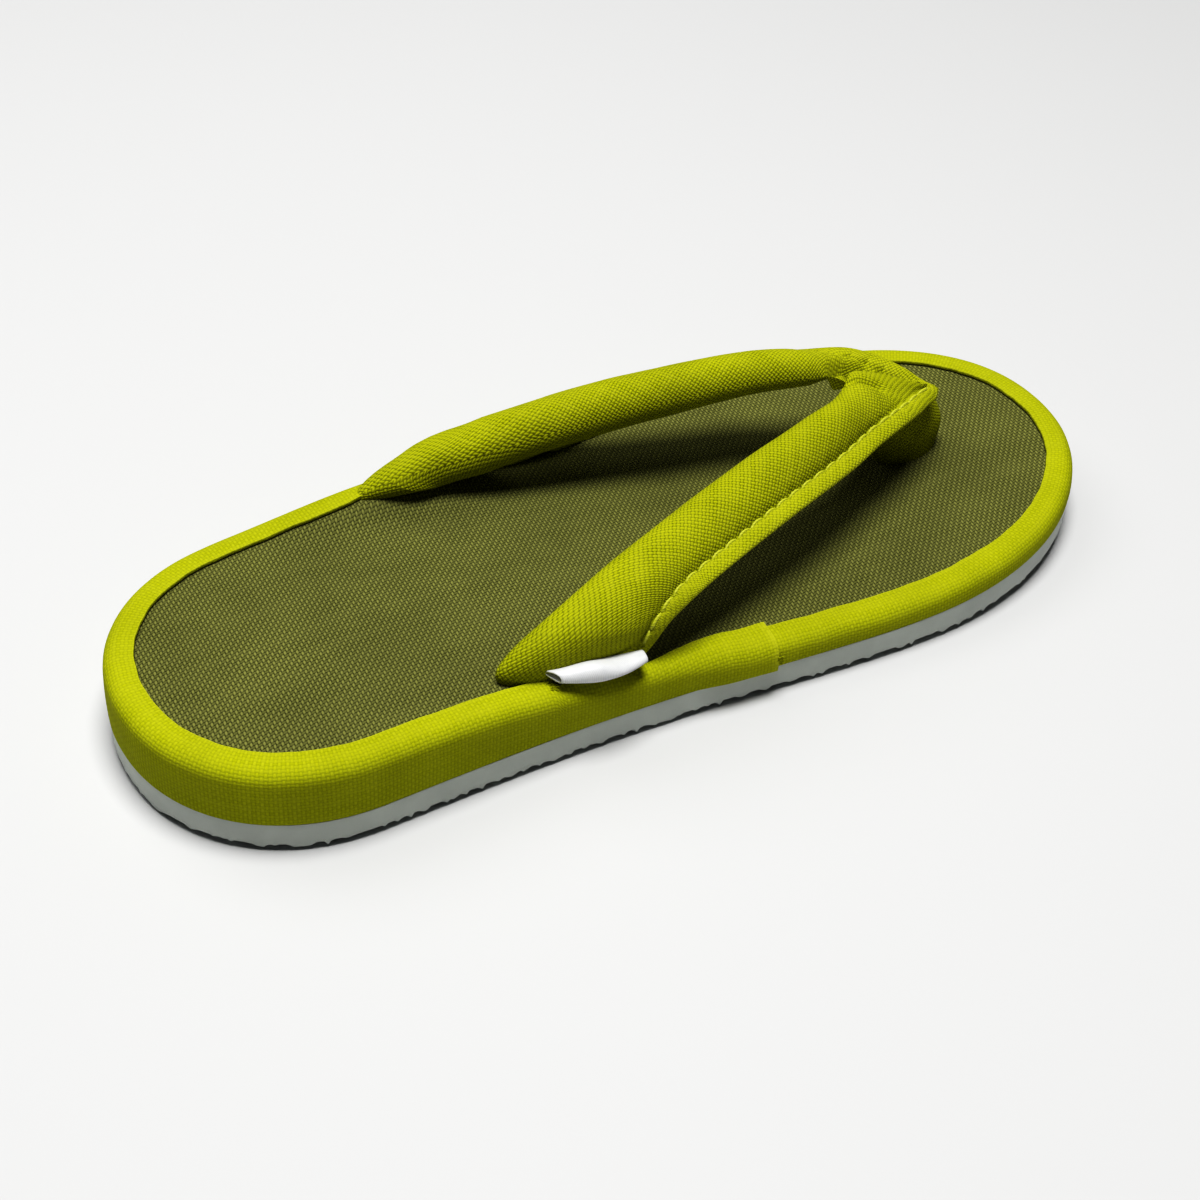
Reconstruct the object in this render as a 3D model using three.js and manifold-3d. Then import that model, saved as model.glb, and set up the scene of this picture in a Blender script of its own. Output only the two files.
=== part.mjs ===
// Zori sandal for either foot: foam outsole, canvas footbed, binding bands, stuffed strap, toe post and tag.
// Millimetres. +X runs from heel to toe, +Y to the wearer's left, +Z up from the floor under the middle.
import * as THREE from "three";
import { mergeVertices } from "three/addons/utils/BufferGeometryUtils.js";
import Module from "manifold-3d";

// Plan of the sole: round heel, slight waist, round toe. Distances run from the heel end.
const LENGTH = 270;
const BALL_WIDTH = 105;
const HEEL_WIDTH = 87;
const BALL_FROM_HEEL = 198;
const HEEL_RUN = 46;
const END_ROUNDNESS = 2.12;
const WAIST_LAG = 1.6;

// Side view: a sheet outsole that lifts at the toe, and a footbed that is thick at the heel.
const SOLE_THICKNESS = 8.4;
const SOLE_EDGE_CHAMFER = 0.6;
const SPRING_FROM_HEEL = 180;
const TOE_SPRING = 4.5;
const PAD_AT_HEEL = 15.8;
const PAD_AT_TOE = 6.6;
const WEDGE_FROM = 45;
const WEDGE_TO = 170;
const FOOTBED_CROWN = 1.2;

// Binding bands: cloth that covers the footbed's side and folds over its rim as a lip.
const BAND_THICKNESS = 1;
const FOLD_RADIUS = 4;
const LIP_WIDTH = 7.5;
const HEEL_BAND_END = 149;
const TUCK_LENGTH = 10;
const LIFT_LENGTH = 14;
const OVERLAP_REACH = 0.5;
const OVERLAP_DROP = 0.3;
// On the left the rim rises to the root of the strap, which comes out through the lip.
const ROOT_RISE = { from: 36, peak: 94, to: 132, height: 6 };
const RISE_POWER = 6;

// Strap: a stuffed tube on each side with a flat sewn flange along its toe-ward edge, joined in a V.
// Each row is a cut across one tube: inner edge, flange edge, thickness and flange width.
const RIGHT_ROWS = [
  { inner: [84, -35, 16], flange: [114, -38, 15], thickness: 5, seam: 3 },
  { inner: [80, -35, 24.5], flange: [118, -39.5, 22.5], thickness: 7.5, seam: 3.5 },
  { inner: [89, -31.5, 31.5], flange: [121, -41, 28.5], thickness: 12, seam: 4 },
  { inner: [106.7, -25.8, 34.3], flange: [126.7, -40.8, 32.8], thickness: 13.5, seam: 4.4 },
  { inner: [129.5, -19, 35.9], flange: [134.5, -39, 35.1], thickness: 13.4, seam: 4.4 },
  { inner: [156, -12.6, 40.2], flange: [161, -31.6, 37.9], thickness: 13, seam: 4.4 },
  { inner: [181.5, -6.7, 43], flange: [186.5, -23.9, 38.7], thickness: 12.4, seam: 4.4 },
  { inner: [193.7, -3.7, 44], flange: [199.7, -18.5, 38.6], thickness: 11, seam: 4.4 },
  { inner: [199.5, -0.9, 45.4], flange: [206, -16.6, 38.9], thickness: 8, seam: 4.4 },
  { inner: [203.4, 2, 46.2], flange: [211.5, -14.4, 38.4], thickness: 4.4, seam: 4.4 },
  { inner: [209.2, 1.4, 44.8], flange: [216.5, -12.3, 37.8], thickness: 3, seam: 4.3 },
  { inner: [215.2, -1.2, 42.9], flange: [221, -10, 37.3], thickness: 2.6, seam: 4.2 },
  { inner: [220.8, -4, 40.5], flange: [225.4, -8, 36.8], thickness: 2.4, seam: 4.2 },
  { inner: [225, -4.4, 38.2], flange: [227.6, -6, 37.2], thickness: 2.4, seam: 3 },
];
const LEFT_ROWS = [
  { inner: [84, 38, 18], flange: [114, 41, 17], thickness: 5, seam: 3 },
  { inner: [79, 38.5, 26], flange: [117, 43, 23.5], thickness: 7.5, seam: 3.5 },
  { inner: [88, 34.5, 31.5], flange: [121, 43.8, 28], thickness: 12, seam: 4 },
  { inner: [107.5, 31.4, 33.1], flange: [127.5, 46.4, 29.3], thickness: 13.5, seam: 4.4 },
  { inner: [131, 27.1, 36], flange: [136, 46.8, 31], thickness: 13.4, seam: 4.4 },
  { inner: [157.5, 20, 40.5], flange: [162.5, 38.9, 36.2], thickness: 13, seam: 4.4 },
  { inner: [183, 12.6, 43.5], flange: [188, 29.8, 38.9], thickness: 12.4, seam: 4.4 },
  { inner: [194.5, 7.2, 44.3], flange: [202.5, 22.4, 40.5], thickness: 10.6, seam: 4.4 },
  { inner: [201, 5.4, 43.4], flange: [213.6, 16.2, 41.4], thickness: 6, seam: 4.4 },
  { inner: [208, 1, 39.6], flange: [220.4, 11.2, 39.8], thickness: 3.2, seam: 4.4 },
  { inner: [214, -2, 37.6], flange: [224.4, 6.6, 38.2], thickness: 2.6, seam: 4.2 },
  { inner: [220.5, -3.8, 37.6], flange: [227, 1, 37.2], thickness: 3, seam: 3.4 },
  { inner: [225.2, -5.4, 37.4], flange: [228.4, -3.8, 36.6], thickness: 3.2, seam: 2.4 },
];
const FLANGE_THICKNESS = 2.4;
// The tube is fullest nearer its inner edge than its seam, by these powers of the share across it.
const TUBE_BACK_POWER = 0.5;
const TUBE_SEAM_POWER = 0.8;
const TUBE_UNDER_SHARE = 0.85;

// Toe post: an oval stuffed tube from the footbed up to the point of the strap.
const POST_ROWS = [
  { centre: 224, length: 19, width: 11, height: 11.2 },
  { centre: 224, length: 19.5, width: 11.5, height: 16 },
  { centre: 223.5, length: 22, width: 13, height: 24 },
  { centre: 222, length: 20, width: 12.5, height: 30 },
  { centre: 221.5, length: 9, width: 7, height: 37 },
];

// Side tag: a short tape folded into a flat loop, standing out from the right-hand slit.
const TAG = {
  heelEnd: [88, -35.7],
  toeEnd: [115.2, -39.6],
  height: 23.8,
  reach: 7.5,
  ply: 0.6,
  opening: 1,
  sag: 6,
};

// Fit and resolution.
const GAP = 0.3;
const STEPS_PER_SPAN = 14;
const STRAP_STEPS = 36;
const TUBE_STEPS = 9;
const POST_SIDES = 20;
const SPINE_FRACTIONS = [0, 0.35, 0.7];

const wasm = await Module();
wasm.setup();

const { clamp, degToRad, lerp, smoothstep } = THREE.MathUtils;
const fromHeel = (distance) => distance - LENGTH / 2;
const heelSpine = fromHeel(HEEL_RUN);
const ballSpine = fromHeel(BALL_FROM_HEEL);

// Heights along the sole.
function springAt(x) {
  const start = fromHeel(SPRING_FROM_HEEL);
  const share = Math.max(0, x - start) / (LENGTH / 2 - start);
  return TOE_SPRING * share * share;
}

function soleTopAt(x) {
  return springAt(x) + SOLE_THICKNESS;
}

function padAt(x) {
  return lerp(PAD_AT_HEEL, PAD_AT_TOE, smoothstep(x, fromHeel(WEDGE_FROM), fromHeel(WEDGE_TO)));
}

function rootRiseAt(x, y) {
  const { from, peak, to, height } = ROOT_RISE;
  const before = smoothstep(x, fromHeel(from), fromHeel(peak));
  const after = smoothstep(x, fromHeel(peak), fromHeel(to));
  return y > 0 ? height * (before - after) : 0;
}

function rimPadAt({ x, y }) {
  return padAt(x) + rootRiseAt(x, y);
}

// The plan's left edge in three spans: 0 to 1 round the toe, 1 to 2 along the waist, 2 to 3 round the heel.
function leftEdge(span) {
  const power = 2 / END_ROUNDNESS;
  const turn = degToRad(90) * span;
  const across = Math.abs(Math.sin(turn)) ** power;
  const along = Math.abs(Math.cos(turn)) ** power;
  const toeRun = LENGTH - BALL_FROM_HEEL;
  if (span <= 1) {
    return new THREE.Vector2(ballSpine + toeRun * along, (BALL_WIDTH / 2) * across);
  }
  if (span >= 2) {
    return new THREE.Vector2(heelSpine - HEEL_RUN * across, (HEEL_WIDTH / 2) * along);
  }
  const toHeel = span - 1;
  const widening = smoothstep((1 - toHeel) ** WAIST_LAG, 0, 1);
  return new THREE.Vector2(lerp(ballSpine, heelSpine, toHeel), lerp(HEEL_WIDTH, BALL_WIDTH, widening) / 2);
}

// The whole plan runs from 0 to 6, anticlockwise from the toe tip, and its right edge mirrors the left.
function edgeAt(span) {
  const turn = ((span % 6) + 6) % 6;
  if (turn <= 3) return leftEdge(turn);
  const mirrored = leftEdge(6 - turn);
  return new THREE.Vector2(mirrored.x, -mirrored.y);
}

function outwardAt(span) {
  const step = 0.002;
  const along = edgeAt(span + step).sub(edgeAt(span - step)).normalize();
  return new THREE.Vector2(along.y, -along.x);
}

// A point of a rim section: out from the plan's edge, and up from the top of the outsole.
function rimPoint(span, out, up) {
  const plan = edgeAt(span).addScaledVector(outwardAt(span), out);
  return new THREE.Vector3(plan.x, plan.y, soleTopAt(plan.x) + up);
}

function spanAtWaist(distance) {
  return 1 + (BALL_FROM_HEEL - distance) / (BALL_FROM_HEEL - HEEL_RUN);
}

const loopSpans = Array.from({ length: 6 * STEPS_PER_SPAN }, (unused, i) => i / STEPS_PER_SPAN);

// Meshes from rings of points.
function closedGeometry(points, triangles) {
  const soup = new THREE.BufferGeometry().setFromPoints(points);
  soup.setIndex(triangles.flat());
  const merged = mergeVertices(soup, 1e-4);
  const index = Array.from(merged.index.array);
  const kept = [];
  for (let i = 0; i < index.length; i += 3) {
    const [a, b, c] = index.slice(i, i + 3);
    if (a !== b && b !== c && c !== a) kept.push(a, b, c);
  }
  merged.setIndex(kept);
  return volumeOf(merged) < 0 ? turnedOut(merged) : merged;
}

function volumeOf(geometry) {
  const corner = [new THREE.Vector3(), new THREE.Vector3(), new THREE.Vector3()];
  const { position } = geometry.attributes;
  let volume = 0;
  for (let i = 0; i < geometry.index.count; i += 3) {
    corner.forEach((point, k) => point.fromBufferAttribute(position, geometry.index.getX(i + k)));
    volume += corner[0].dot(corner[1].clone().cross(corner[2])) / 6;
  }
  return volume;
}

function turnedOut(geometry) {
  const index = geometry.index.array;
  for (let i = 0; i < index.length; i += 3) {
    [index[i], index[i + 1]] = [index[i + 1], index[i]];
  }
  return geometry;
}

function quad(a, b, c, d) {
  return [[a, b, c], [a, c, d]];
}

// Closed rings stacked from the underside's spine, out to the edge and back in to the top's spine.
function stackRings(rings) {
  const count = rings[0].length;
  const triangles = [];
  for (let ring = 0; ring + 1 < rings.length; ring++) {
    for (let i = 0; i < count; i++) {
      const next = (i + 1) % count;
      const low = ring * count;
      const high = low + count;
      triangles.push(...quad(low + i, low + next, high + next, high + i));
    }
  }
  return closedGeometry(rings.flat(), triangles);
}

// Sections swept in a row: each is a chain of points out and as many back, so its ends close as a strip.
function sweepSections(sections) {
  const count = sections[0].length;
  const last = (sections.length - 1) * count;
  const triangles = [];
  for (let section = 0; section + 1 < sections.length; section++) {
    for (let i = 0; i < count; i++) {
      const next = (i + 1) % count;
      const near = section * count;
      const far = near + count;
      triangles.push(...quad(near + i, near + next, far + next, far + i));
    }
  }
  for (let i = 0; i + 1 < count / 2; i++) {
    const back = count - 1 - i;
    triangles.push(...quad(i, back, back - 1, i + 1));
    triangles.push(...quad(last + i, last + i + 1, last + back - 1, last + back));
  }
  return closedGeometry(sections.flat(), triangles);
}

// A ring between the spine, at share 0, and the plan's edge set in by an inset, at share 1.
function spineRing(share, inset, heightAt) {
  return loopSpans.map((span) => {
    const edge = edgeAt(span).addScaledVector(outwardAt(span), -inset);
    const spine = new THREE.Vector2(clamp(edge.x, heelSpine, ballSpine), 0);
    const plan = spine.lerp(edge, share);
    return new THREE.Vector3(plan.x, plan.y, heightAt(plan.x, share, plan.y));
  });
}

// Solids for cutting and joining.
function solidOf(geometry) {
  const vertProperties = new Float32Array(geometry.attributes.position.array);
  const triVerts = new Uint32Array(geometry.index.array);
  return new wasm.Manifold(new wasm.Mesh({ numProp: 3, vertProperties, triVerts }));
}

function geometryOf(solid) {
  const mesh = solid.getMesh();
  const geometry = new THREE.BufferGeometry();
  geometry.setAttribute("position", new THREE.BufferAttribute(mesh.vertProperties, 3));
  geometry.setIndex(new THREE.BufferAttribute(mesh.triVerts, 1));
  return geometry;
}

// Outsole: a flat sheet with a plain side and a small chamfer at the tread.
function outsoleGeometry() {
  const wall = (up) => loopSpans.map((span) => rimPoint(span, 0, up));
  const rings = SPINE_FRACTIONS.map((share) => spineRing(share, SOLE_EDGE_CHAMFER, springAt));
  rings.push(spineRing(1, SOLE_EDGE_CHAMFER, springAt));
  rings.push(wall(SOLE_EDGE_CHAMFER - SOLE_THICKNESS));
  rings.push(wall(0));
  rings.push(...SPINE_FRACTIONS.toReversed().map((share) => spineRing(share, 0, soleTopAt)));
  return stackRings(rings);
}

// Footbed: a wedge pad under the bands, rounded at the rim and slightly crowned inside the lip.
function footbedGeometry() {
  const backing = BAND_THICKNESS + GAP;
  const rim = LIP_WIDTH + 1;
  const under = (x) => soleTopAt(x) + GAP;
  const top = (x, share, y) => {
    const crown = FOOTBED_CROWN * (1 - share * share);
    return soleTopAt(x) + padAt(x) - backing + crown + rootRiseAt(x, y) * share ** RISE_POWER;
  };
  const wall = (place) => loopSpans.map((span) => rimPoint(span, ...place(rimPadAt(edgeAt(span)))));
  const rings = SPINE_FRACTIONS.map((share) => spineRing(share, backing, under));
  rings.push(wall(() => [-backing, GAP]));
  for (const turn of [0, 30, 60, 90].map(degToRad)) {
    const radius = FOLD_RADIUS - backing;
    const out = radius * Math.cos(turn) - FOLD_RADIUS;
    const up = radius * Math.sin(turn) - FOLD_RADIUS;
    rings.push(wall((pad) => [out, pad + up]));
  }
  rings.push(...[...SPINE_FRACTIONS, 1].toReversed().map((share) => spineRing(share, rim, top)));
  return stackRings(rings);
}

// One cut through a band: outer face up the side, over the fold and along the lip, then back inside it.
function bandSection(span, lift, reach, drop) {
  const pad = rimPadAt(edgeAt(span));
  const side = pad - FOLD_RADIUS;
  const lip = LIP_WIDTH + reach;
  const face = (depth) => {
    const radius = FOLD_RADIUS + lift - depth;
    const chain = [[lift - depth, GAP - drop]];
    for (const turn of [0, 22.5, 45, 67.5, 90].map(degToRad)) {
      chain.push([radius * Math.cos(turn) - FOLD_RADIUS, side + radius * Math.sin(turn)]);
    }
    return chain;
  };
  const lipTop = pad + lift;
  const lipUnder = lipTop - BAND_THICKNESS;
  const lipEdge = BAND_THICKNESS / 2;
  const outer = [...face(0), [lipEdge - lip, lipTop], [-lip, lipTop - lipEdge / 2]];
  const inner = [...face(BAND_THICKNESS), [lipEdge - lip, lipUnder], [-lip, lipUnder]];
  return [...outer, ...inner.toReversed()].map(([out, up]) => rimPoint(span, out, up));
}

// A band from one waist to the other: round the heel it laps over the tucked ends of the toe band.
function bandGeometry(spanFrom, spanTo, laps) {
  const steps = Math.ceil((spanTo - spanFrom) * STEPS_PER_SPAN);
  const sections = [];
  for (let i = 0; i <= steps; i++) {
    const span = lerp(spanFrom, spanTo, i / steps);
    const toEnd = fromHeel(HEEL_BAND_END) - edgeAt(span).x;
    const lapped = laps ? 1 - smoothstep(toEnd, TUCK_LENGTH, TUCK_LENGTH + LIFT_LENGTH) : 0;
    const dropped = laps ? 1 - smoothstep(toEnd, 0, TUCK_LENGTH) : 0;
    const lift = lapped * (BAND_THICKNESS + GAP);
    sections.push(bandSection(span, lift, dropped * OVERLAP_REACH, dropped * OVERLAP_DROP));
  }
  return sweepSections(sections);
}

// Strap: the rows' edges run on smooth curves, and each cut is a round tube with its flange outside.
function strapCurves(rows) {
  const place = ([distance, y, z]) => new THREE.Vector3(fromHeel(distance), y, z);
  const curve = (edge) => new THREE.CatmullRomCurve3(rows.map((row) => place(row[edge])));
  return { inner: curve("inner"), flange: curve("flange") };
}

function rowValue(rows, column, share) {
  const place = share * (rows.length - 1);
  const row = Math.min(Math.floor(place), rows.length - 2);
  return lerp(rows[row][column], rows[row + 1][column], place - row);
}

function strapSection({ side, rows }, curves, share, grow) {
  const step = 0.01;
  const middle = (at) => curves.inner.getPoint(at).lerp(curves.flange.getPoint(at), 0.5);
  const inner = curves.inner.getPoint(share);
  const across = curves.flange.getPoint(share).sub(inner);
  const width = across.length();
  across.normalize();
  const along = middle(Math.min(share + step, 1)).sub(middle(Math.max(share - step, 0)));
  const up = across.clone().cross(along).multiplyScalar(-side).normalize();
  const tube = width - rowValue(rows, "seam", share);
  const half = rowValue(rows, "thickness", share) / 2 + grow;
  const flange = FLANGE_THICKNESS / 2 + grow;
  const fullest = TUBE_BACK_POWER / (TUBE_BACK_POWER + TUBE_SEAM_POWER);
  const bow = (q) => q ** TUBE_BACK_POWER * (1 - q) ** TUBE_SEAM_POWER;
  const chain = (sign) => {
    const points = [];
    for (let i = 0; i <= TUBE_STEPS; i++) {
      const q = 0.5 - 0.5 * Math.cos((Math.PI * i) / TUBE_STEPS);
      const full = sign > 0 ? half : half * TUBE_UNDER_SHARE;
      const rise = Math.max((full * bow(q)) / bow(fullest), q > fullest ? flange : 0);
      points.push([q * tube - grow * (1 - q), sign * rise]);
    }
    points.push([width - flange / 2, sign * flange], [width + grow, (sign * flange) / 2]);
    return points;
  };
  const outline = [...chain(1), ...chain(-1).toReversed()];
  const place = ([over, rise]) => inner.clone().addScaledVector(across, over).addScaledVector(up, rise);
  return outline.map(place);
}

function strapSolid(grow) {
  const arms = [{ side: 1, rows: LEFT_ROWS }, { side: -1, rows: RIGHT_ROWS }];
  const solids = arms.map((arm) => {
    const curves = strapCurves(arm.rows);
    const sections = [];
    for (let i = 0; i <= STRAP_STEPS; i++) sections.push(strapSection(arm, curves, i / STRAP_STEPS, grow));
    return solidOf(sweepSections(sections));
  });
  return solids[0].add(solids[1]);
}

// Toe post: oval rings from inside the footbed to inside the point of the strap.
function postGeometry(grow) {
  const ring = (row, size) => Array.from({ length: POST_SIDES }, (unused, i) => {
    const turn = degToRad((360 * i) / POST_SIDES);
    const x = fromHeel(row.centre) + size * (row.length / 2 + grow) * Math.cos(turn);
    return new THREE.Vector3(x, size * (row.width / 2 + grow) * Math.sin(turn), row.height);
  });
  const base = { ...POST_ROWS[0], height: POST_ROWS[0].height - grow };
  const sides = [base, ...POST_ROWS.slice(1)].map((row) => ring(row, 1));
  return stackRings([ring(base, 0), ...sides, ring(POST_ROWS.at(-1), 0)]);
}

// Tag: two plies that meet in a fold at the outer edge, extruded along the slit.
function tagGeometry() {
  const heelEnd = new THREE.Vector2(fromHeel(TAG.heelEnd[0]), TAG.heelEnd[1]);
  const toeEnd = new THREE.Vector2(fromHeel(TAG.toeEnd[0]), TAG.toeEnd[1]);
  const along = toeEnd.clone().sub(heelEnd);
  const depth = TAG.opening / 2 + TAG.ply;
  const loop = new THREE.Shape();
  loop.moveTo(0, TAG.opening / 2);
  loop.lineTo(0, depth);
  loop.lineTo(TAG.reach - depth, depth);
  loop.absarc(TAG.reach - depth, 0, depth, degToRad(90), degToRad(-90), true);
  loop.lineTo(0, -depth);
  loop.lineTo(0, -TAG.opening / 2);
  loop.lineTo(TAG.reach - depth, -TAG.opening / 2);
  loop.absarc(TAG.reach - depth, 0, TAG.opening / 2, degToRad(-90), degToRad(90), false);
  loop.lineTo(0, TAG.opening / 2);
  const run = { depth: along.length(), bevelEnabled: false, curveSegments: 6 };
  const geometry = new THREE.ExtrudeGeometry(loop, run);
  const outward = new THREE.Vector3(along.y, -along.x, 0).normalize();
  const tilt = degToRad(TAG.sag);
  const reachAxis = outward.multiplyScalar(Math.cos(tilt)).setZ(-Math.sin(tilt));
  const runAxis = new THREE.Vector3(along.x, along.y, 0).normalize();
  const frame = new THREE.Matrix4().makeBasis(reachAxis, runAxis.clone().cross(reachAxis), runAxis);
  frame.setPosition(heelEnd.x, heelEnd.y, TAG.height);
  geometry.applyMatrix4(frame);
  geometry.deleteAttribute("normal");
  geometry.deleteAttribute("uv");
  return mergeVertices(geometry);
}

// Finishes as they look in daylight.
const limeCanvas = new THREE.MeshStandardMaterial({ color: 0xb4b923, roughness: 0.9, metalness: 0 });
const oliveCanvas = new THREE.MeshStandardMaterial({ color: 0x60662c, roughness: 0.95, metalness: 0 });
const greyFoam = new THREE.MeshStandardMaterial({ color: 0x919b93, roughness: 0.6, metalness: 0 });
const whiteTape = new THREE.MeshStandardMaterial({ color: 0xf4f4f0, roughness: 0.8, metalness: 0 });

function piece(name, geometry, material) {
  const mesh = new THREE.Mesh(geometry, material.clone());
  mesh.name = name;
  return mesh;
}

const strap = strapSolid(0);
const strapRoom = strapSolid(GAP);
const tucked = spanAtWaist(HEEL_BAND_END - TUCK_LENGTH);
const lapped = spanAtWaist(HEEL_BAND_END);
const footbed = solidOf(footbedGeometry()).subtract(strapRoom).subtract(solidOf(postGeometry(GAP)));
const heelBand = solidOf(bandGeometry(lapped, 6 - lapped, true)).subtract(strapRoom);
const post = solidOf(postGeometry(0)).subtract(strapRoom);
const tag = solidOf(tagGeometry()).subtract(strapRoom);

const sandal = new THREE.Group();
sandal.add(piece("outsole", outsoleGeometry(), greyFoam));
sandal.add(piece("footbed", geometryOf(footbed), oliveCanvas));
sandal.add(piece("binding_toe", bandGeometry(-tucked, tucked, false), limeCanvas));
sandal.add(piece("binding_heel", geometryOf(heelBand), limeCanvas));
sandal.add(piece("strap", geometryOf(strap), limeCanvas));
sandal.add(piece("toe_post", geometryOf(post), limeCanvas));
sandal.add(piece("side_tag", geometryOf(tag), whiteTape));

export default sandal;
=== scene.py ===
import math

import bpy
import numpy as np
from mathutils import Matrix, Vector, noise


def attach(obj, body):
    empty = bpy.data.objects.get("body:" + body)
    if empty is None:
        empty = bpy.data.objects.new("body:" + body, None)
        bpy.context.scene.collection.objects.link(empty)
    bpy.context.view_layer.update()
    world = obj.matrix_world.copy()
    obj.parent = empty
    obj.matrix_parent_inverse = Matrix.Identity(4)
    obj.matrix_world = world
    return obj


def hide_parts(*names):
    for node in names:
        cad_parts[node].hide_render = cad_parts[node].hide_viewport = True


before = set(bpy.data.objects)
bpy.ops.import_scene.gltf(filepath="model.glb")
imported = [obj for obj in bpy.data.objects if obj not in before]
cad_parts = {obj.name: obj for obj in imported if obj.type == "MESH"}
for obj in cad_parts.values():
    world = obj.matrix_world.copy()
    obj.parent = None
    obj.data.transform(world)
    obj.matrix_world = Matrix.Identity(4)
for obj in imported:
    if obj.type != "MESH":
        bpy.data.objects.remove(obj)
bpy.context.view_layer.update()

# Outsole: a sheet of closed-cell foam cut to the plan of the foot, with a smooth cut side
# and a crinkled crepe tread pressed into its underside. It is glued under the covered footbed.
SOLE_LENGTH = 0.270
BALL_WIDTH = 0.105
HEEL_WIDTH = 0.087
BALL_FROM_HEEL = 0.198
HEEL_RUN = 0.046
END_ROUNDNESS = 2.12
WAIST_LAG = 1.6
SOLE_THICKNESS = 0.0084
SPRING_FROM_HEEL = 0.180
TOE_SPRING = 0.0045
TREAD_UNDERCUT = 0.0018
TREAD_DEPTH = 0.0013
WRINKLE_SIZE = 0.0062
EDGE_LENGTH = 0.64
EDGE_BITE = 0.0042
TREAD_FACING = -0.35
SOLE_STEPS = 760
TREAD_RINGS = 46


def from_heel(distance):
    return distance - SOLE_LENGTH / 2


def eased(value, start, end):
    share = np.clip((value - start) / (end - start), 0, 1)
    return share * share * (3 - 2 * share)


def plan_edge(span):
    """The plan's edge: span 0 to 6 runs from the toe tip along the left side, round the heel and back."""
    turn = np.mod(span, 6)
    left = np.where(turn <= 3, turn, 6 - turn)
    across = np.abs(np.sin(left * np.pi / 2)) ** (2 / END_ROUNDNESS)
    along = np.abs(np.cos(left * np.pi / 2)) ** (2 / END_ROUNDNESS)
    to_heel = np.clip(left - 1, 0, 1)
    ball, heel = from_heel(BALL_FROM_HEEL), from_heel(HEEL_RUN)
    waist = HEEL_WIDTH + (BALL_WIDTH - HEEL_WIDTH) * eased((1 - to_heel) ** WAIST_LAG, 0, 1)
    toe_x, toe_y = ball + (SOLE_LENGTH - BALL_FROM_HEEL) * along, BALL_WIDTH * across
    heel_x, heel_y = heel - HEEL_RUN * across, HEEL_WIDTH * along
    x = np.where(left <= 1, toe_x, np.where(left >= 2, heel_x, ball + (heel - ball) * to_heel))
    y = np.where(left <= 1, toe_y, np.where(left >= 2, heel_y, waist)) / 2
    return np.stack([x, np.where(turn <= 3, y, -y)], axis=-1)


def plan_outward(span):
    along = plan_edge(span + 0.002) - plan_edge(span - 0.002)
    along /= np.linalg.norm(along, axis=-1, keepdims=True)
    return np.stack([along[..., 1], -along[..., 0]], axis=-1)


def even_spans(first, last, steps):
    fine = np.linspace(first, last, 6001)
    lengths = np.linalg.norm(np.diff(plan_edge(fine), axis=0), axis=1)
    run = np.concatenate([[0], np.cumsum(lengths)])
    return np.interp(np.linspace(0, run[-1], steps + 1), run, fine)


def spring_at(x):
    start = from_heel(SPRING_FROM_HEEL)
    return TOE_SPRING * (np.maximum(0, x - start) / (SOLE_LENGTH / 2 - start)) ** 2


def sole_top_at(x):
    return spring_at(x) + SOLE_THICKNESS


def crepe_at(x, y):
    """How far the tread's surface lies above its highest wrinkles, which touch the floor."""
    depth = np.empty(np.shape(x))
    for i in np.ndindex(depth.shape):
        spot = Vector((x[i] * 0.75, y[i], 0.0)) / WRINKLE_SIZE
        sway = Vector([noise.noise(spot * 0.6 + Vector((0.0, 0.0, level))) for level in (3.5, 7.5, 11.5)])
        bent = spot + 0.55 * sway
        broad = abs(noise.noise(bent)) ** 0.7
        fine = abs(noise.noise(bent * 2.3 + Vector((7.0, 3.0, 0.0))))
        depth[i] = min(1.0, 1.05 * broad + 0.45 * fine)
    return TREAD_DEPTH * depth


def wobble(place, size, seed):
    """Smooth noise from -1 to 1 along a line of distances."""
    return np.array([noise.noise(Vector((p / size, seed, 0.5))) for p in place])


def laid_grid(name, points, worn=None):
    """A grid primitive with each of its points moved to its place on the piece. The cloth's own lengths
    along and across are kept as its UV map, and how worn it is at each point as an attribute."""
    columns, rows = points.shape[0] - 1, points.shape[1] - 1
    bpy.ops.object.select_all(action="DESELECT")
    bpy.ops.mesh.primitive_grid_add(x_subdivisions=columns, y_subdivisions=rows, size=2)
    piece = bpy.context.object
    piece.name = piece.data.name = name
    flat = np.empty(len(piece.data.vertices) * 3)
    piece.data.vertices.foreach_get("co", flat)
    flat = flat.reshape(-1, 3)
    column = np.rint((flat[:, 0] + 1) / 2 * columns).astype(int)
    row = np.rint((flat[:, 1] + 1) / 2 * rows).astype(int)
    piece.data.vertices.foreach_set("co", points[column, row].ravel())
    steps = np.linalg.norm(np.diff(points, axis=0), axis=2).mean(axis=1)
    along = np.concatenate([[0], np.cumsum(steps)])
    across = np.zeros(points.shape[:2])
    across[:, 1:] = np.cumsum(np.linalg.norm(np.diff(points, axis=1), axis=2), axis=1)
    lengths = np.stack([along[column], across[column, row]], axis=-1)
    corners = np.empty(len(piece.data.loops), int)
    piece.data.loops.foreach_get("vertex_index", corners)
    piece.data.uv_layers.active.data.foreach_set("uv", lengths[corners].ravel())
    if worn is not None:
        piece.data.attributes.new("wear", "FLOAT", "POINT").data.foreach_set("value", worn[column, row])
    return piece


def close_up(piece):
    """Joins the grid's meeting edges, fills its ends, turns its faces outwards and smooths it."""
    bpy.ops.object.mode_set(mode="EDIT")
    bpy.ops.mesh.select_all(action="SELECT")
    bpy.ops.mesh.remove_doubles(threshold=1e-6)
    bpy.ops.mesh.fill_holes(sides=0)
    bpy.ops.mesh.normals_make_consistent(inside=False)
    bpy.ops.object.mode_set(mode="OBJECT")
    bpy.ops.object.shade_smooth_by_angle(angle=math.radians(50))


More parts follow.
